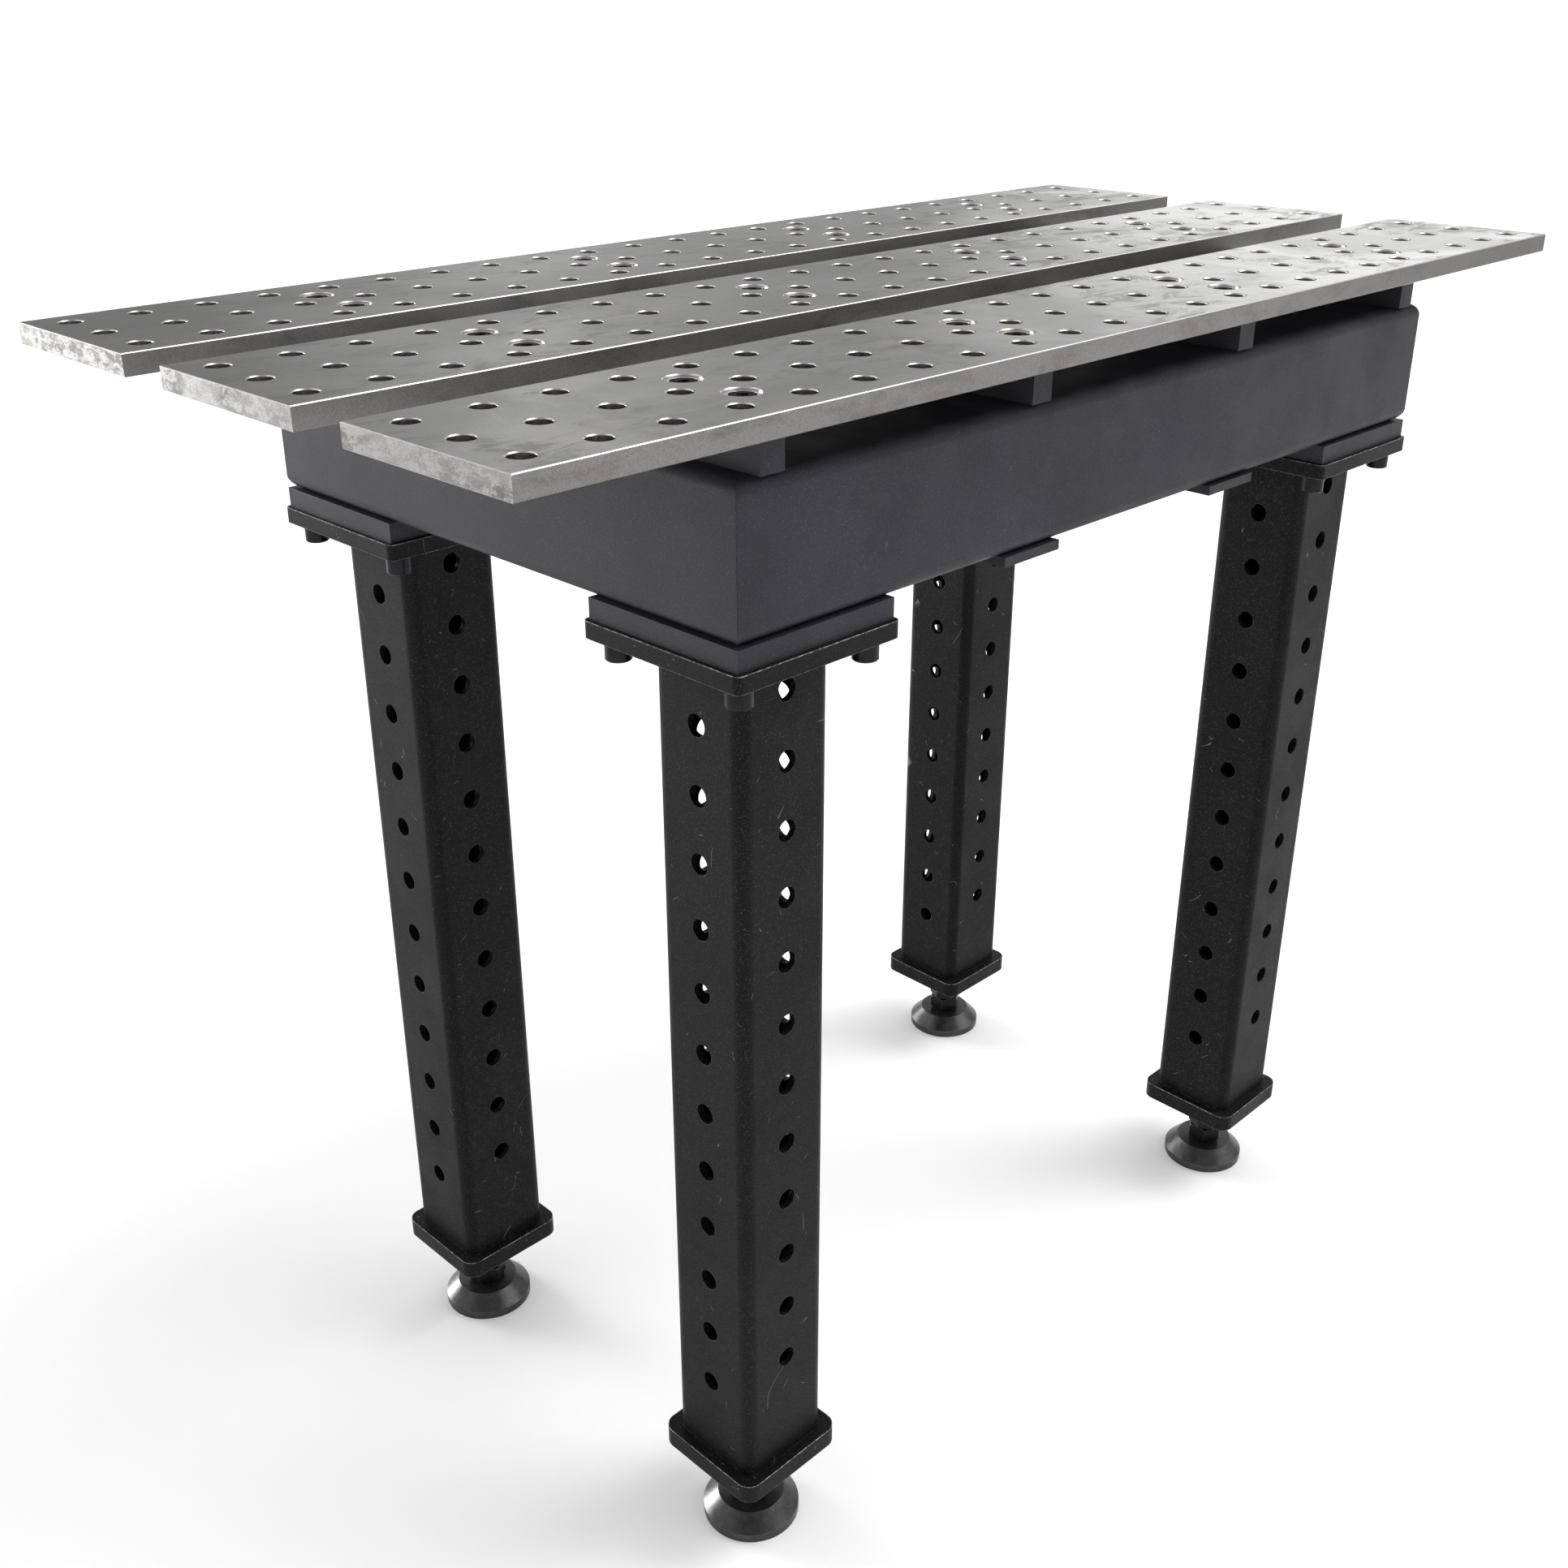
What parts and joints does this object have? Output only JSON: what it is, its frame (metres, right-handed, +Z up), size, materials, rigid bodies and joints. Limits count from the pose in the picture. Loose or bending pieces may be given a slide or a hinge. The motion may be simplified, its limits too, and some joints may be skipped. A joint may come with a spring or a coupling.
{
  "type": "welding table",
  "caption": "Welding table: drilled steel planks bolted across a tube frame, on square perforated legs with screw levelling feet.",
  "frame": {"origin": "on the floor under the middle of the table top", "axes": "+X along the planks, +Y to the back across the planks, +Z up"},
  "size_m": [1.15, 0.55, 0.93],
  "materials": {
    "ground_steel": "ground, faintly mottled by the mill",
    "frame_paint": "fine-textured satin powder coat",
    "leg_powder_coat": "textured powder coat, lightly scratched",
    "black_oxide": "black oxide, semi-gloss",
    "foot_steel": "turned steel, black, semi-gloss"
  },
  "bodies": {
    "table": {"plank_front": "ground_steel", "plank_middle": "ground_steel", "plank_back": "ground_steel", "plank_bolts_front": "black_oxide", "plank_bolts_middle": "black_oxide", "plank_bolts_back": "black_oxide", "crossbar_outer_left": "frame_paint", "crossbar_inner_left": "frame_paint", "crossbar_inner_right": "frame_paint", "crossbar_outer_right": "frame_paint", "frame_rail_front": "frame_paint", "frame_rail_back": "frame_paint", "frame_rail_left": "frame_paint", "frame_rail_right": "frame_paint", "frame_strap_left": "frame_paint", "frame_strap_right": "frame_paint", "corner_pad_front_left": "frame_paint", "corner_pad_front_right": "frame_paint", "corner_pad_back_left": "frame_paint", "corner_pad_back_right": "frame_paint", "leg_flange_front_left": "leg_powder_coat", "leg_flange_front_right": "leg_powder_coat", "leg_flange_back_left": "leg_powder_coat", "leg_flange_back_right": "leg_powder_coat", "leg_tube_front_left": "leg_powder_coat", "leg_tube_front_right": "leg_powder_coat", "leg_tube_back_left": "leg_powder_coat", "leg_tube_back_right": "leg_powder_coat", "foot_plate_front_left": "leg_powder_coat", "foot_plate_front_right": "leg_powder_coat", "foot_plate_back_left": "leg_powder_coat", "foot_plate_back_right": "leg_powder_coat", "leg_screws_front_left": "black_oxide", "leg_screws_front_right": "black_oxide", "leg_screws_back_left": "black_oxide", "leg_screws_back_right": "black_oxide"},
    "foot_front_left": {"stud_front_left": "black_oxide"},
    "nut_front_left": {"jam_nut_front_left": "black_oxide"},
    "pad_front_left": {"floor_pad_front_left": "foot_steel"},
    "foot_front_right": {"stud_front_right": "black_oxide"},
    "nut_front_right": {"jam_nut_front_right": "black_oxide"},
    "pad_front_right": {"floor_pad_front_right": "foot_steel"},
    "foot_back_left": {"stud_back_left": "black_oxide"},
    "nut_back_left": {"jam_nut_back_left": "black_oxide"},
    "pad_back_left": {"floor_pad_back_left": "foot_steel"},
    "foot_back_right": {"stud_back_right": "black_oxide"},
    "nut_back_right": {"jam_nut_back_right": "black_oxide"},
    "pad_back_right": {"floor_pad_back_right": "foot_steel"}
  },
  "joints": [
    {"name": "foot_height_front_left", "type": "slide", "parent": "table", "child": "foot_front_left", "axis": [0, 0, -1], "range_m": [-0.019, 0.035]},
    {"name": "nut_turn_front_left", "type": "hinge", "parent": "foot_front_left", "child": "nut_front_left", "pos_m": [-0.3355, -0.1805, 0.0454], "axis": [0, 0, 1], "continuous": true},
    {"name": "pad_tilt_front_left", "type": "hinge", "parent": "foot_front_left", "child": "pad_front_left", "pos_m": [-0.3355, -0.1805, 0.011], "axis": [0, 1, 0], "range_deg": [-5, 5]},
    {"name": "foot_height_front_right", "type": "slide", "parent": "table", "child": "foot_front_right", "axis": [0, 0, -1], "range_m": [-0.019, 0.035]},
    {"name": "nut_turn_front_right", "type": "hinge", "parent": "foot_front_right", "child": "nut_front_right", "pos_m": [0.3355, -0.1805, 0.0454], "axis": [0, 0, 1], "continuous": true},
    {"name": "pad_tilt_front_right", "type": "hinge", "parent": "foot_front_right", "child": "pad_front_right", "pos_m": [0.3355, -0.1805, 0.011], "axis": [0, 1, 0], "range_deg": [-5, 5]},
    {"name": "foot_height_back_left", "type": "slide", "parent": "table", "child": "foot_back_left", "axis": [0, 0, -1], "range_m": [-0.019, 0.035]},
    {"name": "nut_turn_back_left", "type": "hinge", "parent": "foot_back_left", "child": "nut_back_left", "pos_m": [-0.3355, 0.1805, 0.0454], "axis": [0, 0, 1], "continuous": true},
    {"name": "pad_tilt_back_left", "type": "hinge", "parent": "foot_back_left", "child": "pad_back_left", "pos_m": [-0.3355, 0.1805, 0.011], "axis": [0, 1, 0], "range_deg": [-5, 5]},
    {"name": "foot_height_back_right", "type": "slide", "parent": "table", "child": "foot_back_right", "axis": [0, 0, -1], "range_m": [-0.019, 0.035]},
    {"name": "nut_turn_back_right", "type": "hinge", "parent": "foot_back_right", "child": "nut_back_right", "pos_m": [0.3355, 0.1805, 0.0454], "axis": [0, 0, 1], "continuous": true},
    {"name": "pad_tilt_back_right", "type": "hinge", "parent": "foot_back_right", "child": "pad_back_right", "pos_m": [0.3355, 0.1805, 0.011], "axis": [0, 1, 0], "range_deg": [-5, 5]}
  ]
}
